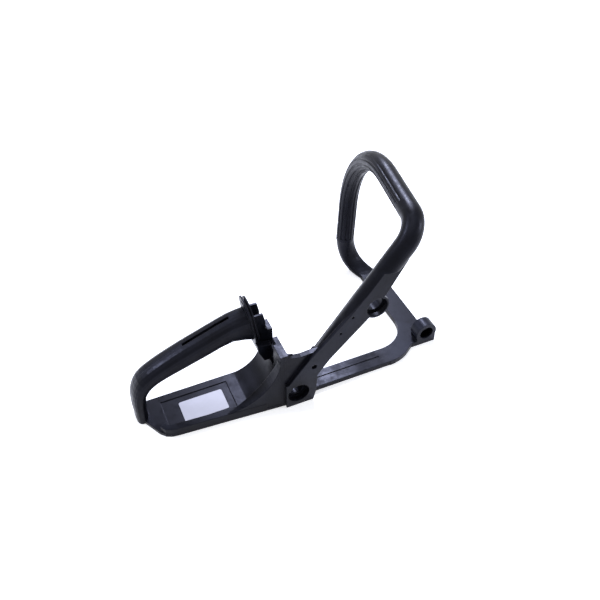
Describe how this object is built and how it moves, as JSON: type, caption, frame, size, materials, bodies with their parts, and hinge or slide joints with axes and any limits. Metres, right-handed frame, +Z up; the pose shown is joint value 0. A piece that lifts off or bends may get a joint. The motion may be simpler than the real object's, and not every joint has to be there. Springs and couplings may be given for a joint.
{
  "type": "chainsaw handle frame",
  "caption": "Chainsaw handle frame: front handlebar loop, sloping right arm with rubber-mount sockets, bottom rail, hand guard plate and two-shell rear grip.",
  "frame": {"origin": "on the flat underside of the socket block, right below the axis of the lower rubber-mount socket, in the middle plane of the right arm", "axes": "+X forward to the front lug, +Y to the saw's left, +Z up"},
  "size_m": [0.4038, 0.238, 0.2384],
  "materials": {
    "frame": "satin moulded glass-filled nylon",
    "cover": "satin moulded glass-filled nylon",
    "screw": "dark zinc",
    "sticker": "blank paper sticker"
  },
  "bodies": {
    "root": {"handle_frame": "frame", "grip_cover": "cover", "cover_screws": "screw"}
  },
  "joints": []
}
